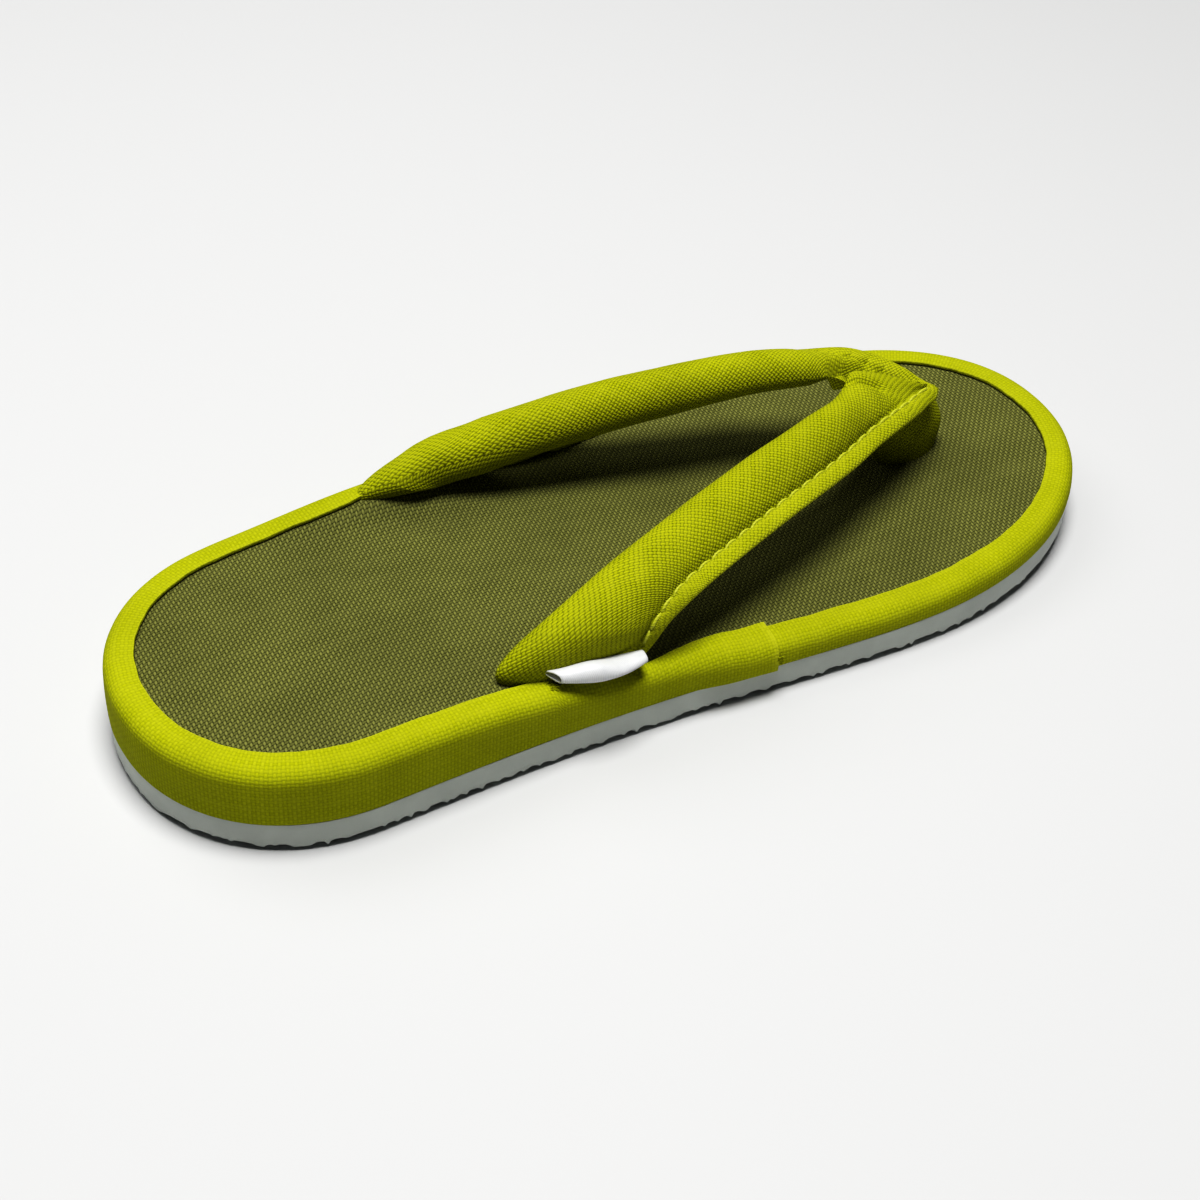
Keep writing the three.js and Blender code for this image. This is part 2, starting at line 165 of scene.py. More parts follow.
def spine_ring(spans, share, inset):
    """Plan points between the sole's middle line, at share 0, and its edge set in, at share 1."""
    edge = plan_edge(spans) - inset * plan_outward(spans)
    middle_x = np.clip(edge[:, 0], from_heel(HEEL_RUN), from_heel(BALL_FROM_HEEL))
    middle = np.stack([middle_x, np.zeros(len(spans))], axis=-1)
    return middle + share * (edge - middle)


def at_height(plan, z):
    return np.concatenate([plan, z[:, None]], axis=1)


spans = even_spans(0, 6, SOLE_STEPS)
rings = []
for share in np.linspace(0, 1, TREAD_RINGS + 1):
    plan = spine_ring(spans, share, TREAD_UNDERCUT)
    rings.append(at_height(plan, spring_at(plan[:, 0]) + crepe_at(plan[:, 0], plan[:, 1])))
edge = plan_edge(spans)
run = np.linspace(0, EDGE_LENGTH, len(spans))
broad, fine = np.abs(wobble(run, EDGE_BITE, 4.0)), np.abs(wobble(run, EDGE_BITE / 2.2, 8.0))
bitten = np.minimum(1.0, 3.0 * broad + fine)
bitten[-1] = bitten[0]
lower = spring_at(edge[:, 0]) + TREAD_UNDERCUT / 2 + TREAD_DEPTH * bitten
upper = sole_top_at(edge[:, 0])
for rise in (0, 0.2, 0.45, 0.7, 0.9, 1):
    rings.append(at_height(edge, lower + (upper - lower) * rise))
for share in (0.96, 0.7, 0.35, 0):
    plan = spine_ring(spans, share, 0)
    rings.append(at_height(plan, sole_top_at(plan[:, 0])))
outsole = laid_grid("outsole_foam", np.stack(rings, axis=1))
close_up(outsole)


def shader(name):
    material = bpy.data.materials.new(name)
    material.use_nodes = True
    return material, material.node_tree, material.node_tree.nodes["Principled BSDF"]


def put(tree, kind, values=(), **settings):
    """A node of that kind, its settings set and its first inputs given values or links."""
    made = tree.nodes.new("ShaderNode" + kind)
    for key, value in settings.items():
        setattr(made, key, value)
    pairs = values.items() if isinstance(values, dict) else enumerate(values)
    for key, value in pairs:
        if isinstance(value, bpy.types.NodeSocket):
            tree.links.new(value, made.inputs[key])
        else:
            made.inputs[key].default_value = value
    return made


def sums(tree, operation, *values):
    return put(tree, "Math", values, operation=operation).outputs[0]


def blend(tree, share, first, second, how="MIX"):
    made = put(tree, "Mix", {"Factor": share}, data_type="RGBA", blend_type=how)
    for socket, value in zip((made.inputs[6], made.inputs[7]), (first, second)):
        if isinstance(value, bpy.types.NodeSocket):
            tree.links.new(value, socket)
        else:
            socket.default_value = value
    return made.outputs[2]


def between(tree, value, low, high, start=0.0, end=1.0):
    return put(tree, "MapRange", [value, low, high, start, end], interpolation_type="SMOOTHSTEP").outputs[0]


def foam(name, light, dark, roughness, pore_depth):
    material, tree, surface = shader(name)
    place = put(tree, "TexCoord").outputs["Object"]
    cloud = put(tree, "TexNoise", {"Vector": place, "Scale": 90.0, "Detail": 3.0}).outputs["Fac"]
    grain = put(tree, "TexNoise", {"Vector": place, "Scale": 2600.0, "Detail": 2.0}).outputs["Fac"]
    pores = put(tree, "TexVoronoi", {"Vector": place, "Scale": 1500.0}).outputs["Distance"]
    speck = between(tree, pores, 0.08, 0.3, 1.0, 0.0)
    mottled = blend(tree, between(tree, cloud, 0.3, 0.7), dark, light)
    # Painted shade: the pores are spotted towards the dark colour, as shade in their pits.
    spotted = blend(tree, sums(tree, "MULTIPLY", speck, 0.35), mottled, dark)
    tree.links.new(spotted, surface.inputs["Base Color"])
    tree.links.new(between(tree, grain, 0.2, 0.8, roughness - 0.08, roughness + 0.1), surface.inputs["Roughness"])
    relief = sums(tree, "SUBTRACT", grain, sums(tree, "MULTIPLY", speck, pore_depth))
    bump = put(tree, "Bump", {"Strength": 0.35, "Distance": 0.0002, "Height": relief})
    tree.links.new(bump.outputs[0], surface.inputs["Normal"])
    return material


foam_side = foam("foam_side", (0.520, 0.552, 0.507, 1), (0.468, 0.498, 0.456, 1), 0.5, 0.5)
foam_tread = foam("foam_tread", (0.400, 0.440, 0.420, 1), (0.310, 0.345, 0.328, 1), 0.36, 0.3)
outsole.data.materials.append(foam_side)
outsole.data.materials.append(foam_tread)
for face in outsole.data.polygons:
    face.material_index = int(face.normal.z < TREAD_FACING and face.center.z < SOLE_THICKNESS)
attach(outsole, "root")
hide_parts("outsole")

# Footbed: a foam wedge, thick under the heel, covered on top with olive canvas in plain weave.
# Its rim is rounded and hidden under the binding, and it is slightly crowned where the foot rests.
PAD_AT_HEEL = 0.0158
PAD_AT_TOE = 0.0066
WEDGE_FROM = 0.045
WEDGE_TO = 0.170
CROWN = 0.0012
BAND_THICKNESS = 0.001
FIT = 0.0003
FOLD_RADIUS = 0.004
LIP_WIDTH = 0.0075
ROOT_RISE = {"from": 0.036, "peak": 0.094, "to": 0.132, "height": 0.006}
RISE_POWER = 6
BED_STEPS = 300
BED_RINGS = 26
OLIVE_PITCH_ALONG = 0.000905
OLIVE_PITCH_ACROSS = 0.00097
THREAD_WANDER = 0.0005
THREAD_ROUNDNESS = 0.6
THREAD_CRIMP = 0.45
SLUB_STRETCH = 0.06
SLUB_SIZES = {"Scale": 0.73, "Detail": 1.0}
WEAVE_RELIEF = 0.0003


def pad_at(x):
    return PAD_AT_HEEL + (PAD_AT_TOE - PAD_AT_HEEL) * eased(x, from_heel(WEDGE_FROM), from_heel(WEDGE_TO))


def root_rise_at(x, y):
    """How far the left rim rises to the strap's root, which comes out through the lip there."""
    peak = from_heel(ROOT_RISE["peak"])
    before, after = eased(x, from_heel(ROOT_RISE["from"]), peak), eased(x, peak, from_heel(ROOT_RISE["to"]))
    return np.where(y > 0, ROOT_RISE["height"] * (before - after), 0)


def rim_pad_at(edge):
    return pad_at(edge[:, 0]) + root_rise_at(edge[:, 0], edge[:, 1])


def rim_points(spans, out, up):
    """Points set out from the plan's edge and up from the outsole's top."""
    plan = plan_edge(spans) + np.reshape(out, (-1, 1)) * plan_outward(spans)
    return at_height(plan, sole_top_at(plan[:, 0]) + up)


spans = even_spans(0, 6, BED_STEPS)
backing = BAND_THICKNESS + FIT
pad = rim_pad_at(plan_edge(spans))
rings = []
for share in (0, 0.5, 1):
    plan = spine_ring(spans, share, backing)
    rings.append(at_height(plan, sole_top_at(plan[:, 0]) + FIT))
for turn in np.radians([0, 30, 60, 90]):
    radius = FOLD_RADIUS - backing
    out = np.full(len(spans), radius * math.cos(turn) - FOLD_RADIUS)
    rings.append(rim_points(spans, out, pad - FOLD_RADIUS + radius * math.sin(turn)))
for share in np.linspace(1, 0, BED_RINGS):
    plan = spine_ring(spans, share, LIP_WIDTH + BAND_THICKNESS)
    x, y = plan.T
    crown = CROWN * (1 - share * share) + root_rise_at(x, y) * share**RISE_POWER
    rings.append(at_height(plan, sole_top_at(x) + pad_at(x) - backing + crown))
footbed = laid_grid("footbed_pad", np.stack(rings, axis=1))
close_up(footbed)


def canvas_weave():
    """Plain weave: warp and weft pass over each other in turn, in rows that lean one way or stand even."""
    group = bpy.data.node_groups.new("canvas_weave", "ShaderNodeTree")
    group.interface.new_socket("Cloth", in_out="INPUT", socket_type="NodeSocketVector")
    for name in ("Pitch Along", "Pitch Across", "Lean"):
        group.interface.new_socket(name, in_out="INPUT", socket_type="NodeSocketFloat")
    for name in ("Height", "Thread Shade", "Warp On Top"):
        group.interface.new_socket(name, in_out="OUTPUT", socket_type="NodeSocketFloat")
    given = group.nodes.new("NodeGroupInput").outputs
    wander = put(group, "TexNoise", {"Vector": given["Cloth"], "Scale": 160.0, "Detail": 2.0}).outputs["Color"]
    slack = put(group, "VectorMath", [wander, (0.5, 0.5, 0.5)], operation="SUBTRACT").outputs[0]
    slack = put(group, "VectorMath", {0: slack, "Scale": THREAD_WANDER}, operation="SCALE").outputs[0]
    spot = put(group, "VectorMath", [given["Cloth"], slack], operation="ADD").outputs[0]
    apart = put(group, "SeparateXYZ", [spot]).outputs
    along = sums(group, "DIVIDE", apart[0], given["Pitch Along"])
    across = sums(group, "DIVIDE", apart[1], given["Pitch Across"])
    warp_wave = sums(group, "SINE", sums(group, "MULTIPLY", along, math.pi))
    weft_wave = sums(group, "SINE", sums(group, "MULTIPLY", across, math.pi))
    leaning = sums(group, "COSINE", sums(group, "MULTIPLY", sums(group, "SUBTRACT", along, across), math.pi))
    even = sums(group, "MULTIPLY", warp_wave, weft_wave)
    over = sums(group, "ADD", sums(group, "MULTIPLY", leaning, given["Lean"]),
                sums(group, "MULTIPLY", even, sums(group, "SUBTRACT", 1.0, given["Lean"])))
    warp_round = sums(group, "POWER", sums(group, "ABSOLUTE", warp_wave), THREAD_ROUNDNESS)
    weft_round = sums(group, "POWER", sums(group, "ABSOLUTE", weft_wave), THREAD_ROUNDNESS)
    warp_up = sums(group, "MULTIPLY_ADD", over, THREAD_CRIMP, 1 - THREAD_CRIMP)
    weft_up = sums(group, "MULTIPLY_ADD", over, -THREAD_CRIMP, 1 - THREAD_CRIMP)
    warp = sums(group, "MULTIPLY", warp_round, warp_up)
    weft = sums(group, "MULTIPLY", weft_round, weft_up)
    height = sums(group, "MAXIMUM", warp, weft)
    down_warp, down_weft = (sums(group, "MULTIPLY", way, SLUB_STRETCH) for way in (across, along))
    warp_slub = put(group, "CombineXYZ", [sums(group, "FLOOR", along), down_warp, 0.0]).outputs[0]
    weft_slub = put(group, "CombineXYZ", [down_weft, sums(group, "FLOOR", across), 9.0]).outputs[0]
    warp_shade = put(group, "TexNoise", {"Vector": warp_slub, **SLUB_SIZES}).outputs["Fac"]
    weft_shade = put(group, "TexNoise", {"Vector": weft_slub, **SLUB_SIZES}).outputs["Fac"]
    on_top = between(group, sums(group, "SUBTRACT", warp, weft), -0.12, 0.12)
    shade = put(group, "Mix", [on_top], data_type="FLOAT")
    group.links.new(weft_shade, shade.inputs[2])
    group.links.new(warp_shade, shade.inputs[3])
    given_out = group.nodes.new("NodeGroupOutput").inputs
    group.links.new(height, given_out["Height"])
    group.links.new(shade.outputs[0], given_out["Thread Shade"])
    group.links.new(on_top, given_out["Warp On Top"])
    return group


weave = canvas_weave()


def canvas(name, warp, weft, gap, pale, pitch, turn=0.0, lean=0.0, slub=0.3, depth=0.8, by_uv=True):
    """Dyed canvas: warp and weft threads, with the weft coloured darker as painted shade of raking light, gaps
    coloured dark as painted shade between the threads, paler slubs, and a pale edge where it is worn.
    """
    material, tree, surface = shader(name)
    place = put(tree, "TexCoord").outputs["UV" if by_uv else "Object"]
    cloth = put(tree, "Mapping", {"Vector": place, "Rotation": (0, 0, turn)}, vector_type="POINT").outputs[0]
    woven = put(tree, "Group", node_tree=weave)
    tree.links.new(cloth, woven.inputs["Cloth"])
    woven.inputs["Pitch Along"].default_value = pitch[0]
    woven.inputs["Pitch Across"].default_value = pitch[1]
    woven.inputs["Lean"].default_value = lean
    solid = put(tree, "TexCoord").outputs["Object"]
    cloud = put(tree, "TexNoise", {"Vector": solid, "Scale": 55.0, "Detail": 4.0}).outputs["Fac"]
    lint = put(tree, "TexNoise", {"Vector": solid, "Scale": 900.0, "Detail": 3.0}).outputs["Fac"]
    # Painted shade: where the weft lies on top, the darker weft colour stands in for raking light on the weave.
    colour = blend(tree, woven.outputs["Warp On Top"], weft, warp)
    # Painted shade: the low places between the threads take the dark gap colour.
    colour = blend(tree, between(tree, woven.outputs["Height"], 0.2, 0.75), gap, colour)
    slubs = between(tree, woven.outputs["Thread Shade"], 0.3, 0.7)
    colour = blend(tree, sums(tree, "MULTIPLY", slubs, slub), colour, pale)
    shade = between(tree, cloud, 0.25, 0.75, 0.86, 1.0)
    colour = blend(tree, 1.0, colour, put(tree, "CombineColor", [shade, shade, shade]).outputs[0], "MULTIPLY")
    wear = put(tree, "Attribute", attribute_name="wear").outputs["Fac"]
    worn = sums(tree, "MULTIPLY", wear, between(tree, lint, 0.3, 0.6, 0.2, 0.9))
    colour = blend(tree, worn, colour, pale)
    tree.links.new(colour, surface.inputs["Base Color"])
    tree.links.new(between(tree, lint, 0.2, 0.8, 0.78, 0.95), surface.inputs["Roughness"])
    surface.inputs["Specular IOR Level"].default_value = 0.04
    relief = sums(tree, "MULTIPLY_ADD", lint, 0.25, woven.outputs["Height"])
    bump = put(tree, "Bump", {"Strength": depth, "Distance": WEAVE_RELIEF, "Height": relief})
    tree.links.new(bump.outputs[0], surface.inputs["Normal"])
    return material


olive_canvas = canvas(
    "olive_canvas",
    warp=(0.215, 0.219, 0.062, 1),
    # Painted shade: this weft colour is the olive thread darkened for raking light on the weave.
    weft=(0.128, 0.132, 0.034, 1),
    # Painted shade: the gap colour is the shade in the openings between the threads.
    gap=(0.020, 0.023, 0.005, 1),
    pale=(0.215, 0.218, 0.072, 1),
    pitch=(OLIVE_PITCH_ALONG, OLIVE_PITCH_ACROSS),
    turn=math.radians(2.3),
    lean=0.45,
    slub=0.15,
    by_uv=False,
)
footbed.data.materials.append(olive_canvas)
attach(footbed, "root")
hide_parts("footbed")

# Binding: two strips of lime canvas glued round the footbed's side and folded over its rim as a lip.
# The heel strip laps over the tucked ends of the toe strip, and its end shows as a small frayed step.
HEEL_BAND_END = 0.149
TUCK_LENGTH = 0.010
LIFT_LENGTH = 0.014
OVERLAP_REACH = 0.0005
OVERLAP_DROP = 0.0003
RIGHT_SLIT = {"from": 0.0893, "full": 0.0925, "easing": 0.112, "to": 0.130, "share": 0.46}
LEFT_SLIT = {"from": 0.074, "full": 0.093, "easing": 0.155, "to": 0.185, "share": 0.46}
SIDE_BELLY = 0.0003
BELLY_SWAY = 0.03
LIP_RAGGED = 0.00022
LIP_NICK = 0.004
LIP_SWAY = 0.017
WAIST_RUN = BALL_FROM_HEEL - HEEL_RUN
BAND_STEPS = 300
LIME_PITCH = 0.00092


def binding_sections(first, last, steps, laps, seed):
    spans = even_spans(first, last, steps)
    edge = plan_edge(spans)
    x, left_side = edge[:, 0], edge[:, 1] > 0
    run = np.concatenate([[0], np.cumsum(np.linalg.norm(np.diff(edge, axis=0), axis=1))])
    pad = rim_pad_at(edge)
    lift, lip, drop = np.zeros(len(x)), np.full(len(x), LIP_WIDTH), np.zeros(len(x))
    if laps:
        to_end = from_heel(HEEL_BAND_END) - x
        near_end = 1 - eased(to_end, 0, TUCK_LENGTH)
        lift = backing * (1 - eased(to_end, TUCK_LENGTH, TUCK_LENGTH + LIFT_LENGTH))
        drop = near_end * OVERLAP_DROP
        lip = lip + near_end * OVERLAP_REACH
    for slit, there in ((LEFT_SLIT, left_side), (RIGHT_SLIT, ~left_side)):
        opened = eased(x, from_heel(slit["from"]), from_heel(slit["full"]))
        opened *= 1 - eased(x, from_heel(slit["easing"]), from_heel(slit["to"]))
        lip = np.where(there, lip * (1 - slit["share"] * opened), lip)
    lip = lip + LIP_RAGGED * (wobble(run, LIP_NICK, seed) + 1.5 * wobble(run, LIP_SWAY, seed + 3))
    belly = SIDE_BELLY * (1 + 0.6 * wobble(run, BELLY_SWAY, seed + 5))
    side = pad - FOLD_RADIUS
    foot = FIT - drop

    def face(depth):
        """From the lip's edge over the fold and down the side to the sole."""
        radius = FOLD_RADIUS + lift - depth
        top = pad + lift - depth
        out, up = [], []
        for share in (0.94, 0.8, 0.6, 0.35, 0.12):
            out.append(-FOLD_RADIUS - share * (lip - FOLD_RADIUS))
            up.append(top)
        for turn in np.radians([90, 75, 60, 45, 30, 15, 0]):
            out.append(radius * math.cos(turn) - FOLD_RADIUS + belly * math.cos(turn) * 0.6)
            up.append(side + radius * math.sin(turn))
        for share in (0.75, 0.5, 0.25, 0.06, 0):
            out.append(lift - depth + belly * (0.6 + 1.6 * share * (1 - share)))
            up.append(foot + (side - foot) * share)
        return out, up

    outer_out, outer_up = face(0)
    inner_out, inner_up = face(BAND_THICKNESS)
    edge_up = pad + lift - BAND_THICKNESS / 2
    rounded_in, rounded_up = 0.12 * BAND_THICKNESS, 0.36 * BAND_THICKNESS
    out = [-lip, rounded_in - lip, *outer_out, *inner_out[::-1], rounded_in - lip, -lip]
    up = [edge_up, edge_up + rounded_up, *outer_up, *inner_up[::-1], edge_up - rounded_up, edge_up]
    return np.stack([rim_points(spans, o, u) for o, u in zip(out, up)], axis=1)


LIME_WARP = (0.395, 0.420, 0.004, 1)
# Painted shade: the weft colour is the lime dye darkened for raking light on the weave.
LIME_WEFT_SHADED = (0.340, 0.365, 0.003, 1)
LIME_PALE = (0.45, 0.47, 0.02, 1)
# Painted shade: the gap colour is the shade in the openings between the straight threads.
lime_canvas = canvas("lime_canvas_straight", LIME_WARP, LIME_WEFT_SHADED, gap=(0.255, 0.275, 0.002, 1), pale=LIME_PALE,
                     pitch=(LIME_PITCH, LIME_PITCH), depth=0.4)
tucked = 1 + (BALL_FROM_HEEL - (HEEL_BAND_END - TUCK_LENGTH)) / WAIST_RUN
lapped = 1 + (BALL_FROM_HEEL - HEEL_BAND_END) / WAIST_RUN
BANDS = [
    {"node": "binding_toe", "ends": (-tucked, tucked), "laps": False, "seed": 2.0},
    {"node": "binding_heel", "ends": (lapped, 6 - lapped), "laps": True, "seed": 11.0},
]
for band in BANDS:
    sections = binding_sections(*band["ends"], BAND_STEPS, band["laps"], band["seed"])
    worn = np.zeros(sections.shape[:2])
    worn[:, [0, 1, 2, 3, -2, -1]] = (0.8, 0.8, 0.45, 0.15, 0.8, 0.8)
    if band["laps"]:
        worn[[0, 1, -2, -1]] = np.maximum(worn[[0, 1, -2, -1]], [[0.9], [0.4], [0.4], [0.9]])
    strip = laid_grid(band["node"] + "_cloth", sections, worn)
    close_up(strip)
    strip.data.materials.append(lime_canvas)
    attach(strip, "root")
    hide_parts(band["node"])

# Loose threads: ends of lime warp frayed out along the cut end of the heel strip where it laps the toe strip,
# and a small tuft at the slit in the lip where the right-hand root comes out.
FRAY_RADIUS = 0.00009
FRAY_LENGTH = 0.0016
FRAY_PROUD = 0.0001
FRAY_LIFT = 0.0003
FRAY_BEND = 0.0002
LAP_STRANDS = 26
LAP_MARGINS = (0.002, 0.003)
LAP_ROOTED_SPAN = 0.002
TUFT_STRANDS = 22
TUFT_SUNK = 0.0003
TUFT_INSET = (0.0035, 0.0072)
TUFT_FORWARD = (0.0004, 0.0018)
TUFT_SPREAD = 0.0007
TUFT_RISE = (0.0002, 0.0012)


def cord(name, line, radius, sides=6):
    """A round cord of that radius along a line of points."""
    along = np.gradient(line, axis=0)
    along /= np.linalg.norm(along, axis=1)[:, None]
    sideways = np.cross(along, (0, 0, 1.0))
    sideways /= np.linalg.norm(sideways, axis=1)[:, None]
    upward = np.cross(sideways, along)
    turns = np.linspace(0, 2 * np.pi, sides + 1)
    rings = line[:, None] + np.reshape(radius, (-1, 1, 1)) * (
        np.cos(turns)[:, None] * sideways[:, None] + np.sin(turns)[:, None] * upward[:, None])
    rings[:, -1] = rings[:, 0]
    piece = laid_grid(name, rings)
    close_up(piece)
    return piece


def join(name, pieces):
    bpy.ops.object.select_all(action="DESELECT")
    for piece in pieces:
        piece.select_set(True)
    bpy.context.view_layer.objects.active = pieces[0]
    bpy.ops.object.join()
    pieces[0].name = pieces[0].data.name = name
    return pieces[0]


def rim_spot(span, out, up):
    return rim_points(np.array([span]), np.array([out]), up)[0]


def rim_pad_on(span):
    return rim_pad_at(plan_edge(np.array([span])))[0]


rng = np.random.default_rng(5)
frays = []
for end_span, toeward in ((lapped, -1), (6 - lapped, 1)):
    for height in np.linspace(LAP_MARGINS[0], rim_pad_on(end_span) - LAP_MARGINS[1], LAP_STRANDS):
        root = rim_spot(end_span - toeward * LAP_ROOTED_SPAN, backing + FRAY_PROUD, height)
        reach = FRAY_LENGTH * rng.uniform(0.3, 1.0) / WAIST_RUN
        tip = rim_spot(end_span + toeward * reach, backing + rng.uniform(0, FRAY_LIFT), height)
        tip[2] += rng.normal(0, FRAY_BEND)
        frays.append((root, tip))
right_waist = np.linspace(4, 5, 2001)
to_slit = np.abs(plan_edge(right_waist)[:, 0] - from_heel(RIGHT_SLIT["from"]))
slit_span = right_waist[np.argmin(to_slit)]
for _ in range(TUFT_STRANDS):
    root = rim_spot(slit_span, -rng.uniform(*TUFT_INSET), rim_pad_on(slit_span) - TUFT_SUNK)
    stray = [rng.uniform(*TUFT_FORWARD), rng.normal(0, TUFT_SPREAD), rng.uniform(*TUFT_RISE)]
    frays.append((root, root + np.array(stray)))
strands = []
for root, tip in frays:
    share = np.linspace(0, 1, 5)[:, None]
    line = root + (tip - root) * share + np.array([0, 0, FRAY_BEND]) * np.sin(np.pi * share)
    strands.append(cord("strand", line, FRAY_RADIUS, sides=4))
loose = join("loose_threads", strands)
loose.data.materials.append(lime_canvas)
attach(loose, "root")

# Strap: two stuffed tubes of lime canvas cut on the bias, each closed by a topstitched flat seam
# along its toe-ward edge. The right one laps over the left one at the point, where they gather.
# Rows across each tube: inner edge x, y, z; seam edge x, y, z; thickness; seam width (x from the heel end, mm)
RIGHT_ROWS = [
    (84, -32, 16, 114, -37, 15, 5, 3),
    (79.5, -32.3, 24, 118, -39.5, 22.5, 7.5, 3.5),
    (89, -31, 31.5, 121, -41, 28.5, 12, 4),
    (106.7, -25.8, 34.3, 126.7, -40.8, 32.8, 13.5, 4.4),
    (129.5, -19, 35.9, 134.5, -39, 35.1, 13.4, 4.4),
    (156, -12.6, 40.2, 161, -31.6, 37.9, 13, 4.4),
    (181.5, -6.7, 43, 186.5, -23.9, 38.7, 12.4, 4.4),
    (193.7, -3.7, 44, 199.7, -18.5, 38.6, 11, 4.4),
    (199.5, -0.9, 45.4, 206, -16.6, 38.9, 8, 4.4),
    (203.4, 2.0, 46.2, 211.5, -14.4, 38.4, 4.4, 4.4),
    (209.2, 1.4, 44.8, 216.5, -12.3, 37.8, 3.0, 4.3),
    (215.2, -1.2, 42.9, 221, -10, 37.3, 2.6, 4.2),
    (220.8, -4, 40.5, 225.4, -8, 36.8, 2.4, 4.2),
    (225, -4.4, 38.2, 227.6, -6, 37.2, 2.4, 3.0),
]
LEFT_ROWS = [
    (84, 38, 18, 114, 41, 17, 5, 3),
    (79, 38.5, 26, 117, 43, 23.5, 7.5, 3.5),
    (88, 34.5, 31.5, 121, 43.8, 28, 12, 4),
    (107.5, 31.4, 33.1, 127.5, 46.4, 29.3, 13.5, 4.4),
    (131, 27.1, 36, 136, 46.8, 31, 13.4, 4.4),
    (157.5, 20, 40.5, 162.5, 38.9, 36.2, 13, 4.4),
    (183, 12.6, 43.5, 188, 29.8, 38.9, 12.4, 4.4),
    (194.5, 7.2, 44.3, 202.5, 22.4, 40.5, 10.6, 4.4),
    (201, 5.4, 43.4, 213.6, 16.2, 41.4, 6, 4.4),
    (208, 1, 39.6, 220.4, 11.2, 39.8, 3.2, 4.4),
    (214, -2, 37.6, 224.4, 6.6, 38.2, 2.6, 4.2),
    (220.5, -3.8, 37.6, 227, 1, 37.2, 3, 3.4),
    (225.2, -5.4, 37.4, 228.4, -3.8, 36.6, 3.2, 2.4),
]
SEAM_THICKNESS = 0.0022
GROOVE_SHARE = 0.35
FULL_BACK, FULL_SEAM = 0.5, 0.8
# How full each tube is underneath against its top, from root to point: right side -1, left side 1
FULL_UNDER = {-1: [0.85], 1: [1.05, 1.05, 1.05, 1.05, 1.0, 0.95, 0.8, 0.7, 0.5, 0.5, 0.5, 0.5, 0.5]}
STITCH_PITCH = 0.0048
PUCKER, PUCKER_REACH = 0.0004, 0.0024
SCALLOP, SCALLOP_REACH = 0.0006, 0.0012
SEAM_PUFF, SEAM_REACH = 0.0002, 0.3
DENT_SIZE = 0.013
DENT_DEPTH = 0.0003
DENT_FULL_AT = 0.004
CREASE_FULL_AT = 0.0015
STRAP_STEPS = 520
TUBE_STEPS = 20
FOLD_UNDER = (0.205, 0.212)
FOLD_DEPTH = 2
THREAD_SET, THREAD_PROUD, THREAD_DIP = 0.0004, 0.0001, 0.0016
# Across the flat seam: share of its width, share of its half thickness, how worn it is
FLANGE = [
    (0.1, 0.72, 0.2), (0.25, 1.0, 0.35), (0.5, 1.05, 0.1), (0.75, 0.98, 0.1), (0.92, 0.68, 0.4), (1.0, 0.22, 0.7),
]
# Troughs pressed into an arm from above: side, path as x from the heel end and y, width, depth (mm).
# One of the fold's depth or more takes the underside along with it near the point.
CREASES = [
    (-1, [(195.5, -0.6), (202, -2.4), (208.5, -5)], 1.4, 1.7),
    (-1, [(211, -6.5), (217, -6.5)], 1.4, 0.35),
    (-1, [(100, -33.5), (113, -33), (126, -30)], 2.6, 0.45),
    (1, [(203, 6), (207.5, 5.8), (213, 5), (218.5, 2), (222.5, -1)], 3.2, 5),
    (1, [(207, 13), (209, 9)], 0.9, 0.5),
    (1, [(202, 15), (205, 9)], 0.9, 0.45),
    (1, [(196, 17), (200, 10)], 1.1, 0.35),
    (1, [(92, 37), (106, 36), (120, 33)], 2.4, 0.5),
]


def smooth_line(points, shares):
    """A centripetal curve through the points, at shares of its row count."""
    rows = np.vstack([2 * points[0] - points[1], points, 2 * points[-1] - points[-2]])
    place = shares * (len(points) - 1)
    first = np.minimum(np.floor(place).astype(int), len(points) - 2)
    t = (place - first)[:, None]
    a, b, c, d = (rows[first + k] for k in range(4))
    legs = ((a, b), (b, c), (c, d))
    ab, bc, cd = (np.maximum(np.linalg.norm(q - p, axis=1)[:, None], 1e-9) ** 0.5 for p, q in legs)
    leave = ((b - a) / ab - (c - a) / (ab + bc) + (c - b) / bc) * bc
    arrive = ((c - b) / bc - (d - b) / (bc + cd) + (d - c) / cd) * bc
    return b + leave * t + (3 * (c - b) - 2 * leave - arrive) * t**2 + (2 * (b - c) + leave + arrive) * t**3


def strap_frame(side):
    """Inner edge, directions across and up, width, seam width and thickness along one arm."""
    rows = np.array(LEFT_ROWS if side > 0 else RIGHT_ROWS, float) / 1000
    rows[:, [0, 3]] -= SOLE_LENGTH / 2
    shares = np.linspace(0, 1, STRAP_STEPS + 1)
    inner, seam = smooth_line(rows[:, 0:3], shares), smooth_line(rows[:, 3:6], shares)
    across = seam - inner
    width = np.linalg.norm(across, axis=1)
    across /= width[:, None]
    along = np.gradient((inner + seam) / 2, axis=0)
    up = -side * np.cross(across, along)
    up /= np.linalg.norm(up, axis=1)[:, None]
    place = shares * (len(rows) - 1)
    thickness, seam_width = (np.interp(place, np.arange(len(rows)), rows[:, k]) for k in (6, 7))
    return inner, across, up, width, seam_width, thickness


def press(points, raised, path, width, depth):
    """Presses a soft trough along a path in plan, down into the points by how far each is raised."""
    path = np.array(path) / 1000 - (SOLE_LENGTH / 2, 0)
    nearest = np.full(points.shape[:2], np.inf)
    for start, end in zip(path[:-1], path[1:]):
        leg = end - start
        share = np.clip(((points[..., :2] - start) @ leg) / (leg @ leg), 0, 1)
        nearest = np.minimum(nearest, np.linalg.norm(points[..., :2] - start - share[..., None] * leg, axis=-1))
    return points - raised * (depth / 1000 * np.exp(-((nearest * 1000 / width) ** 2)))[..., None]


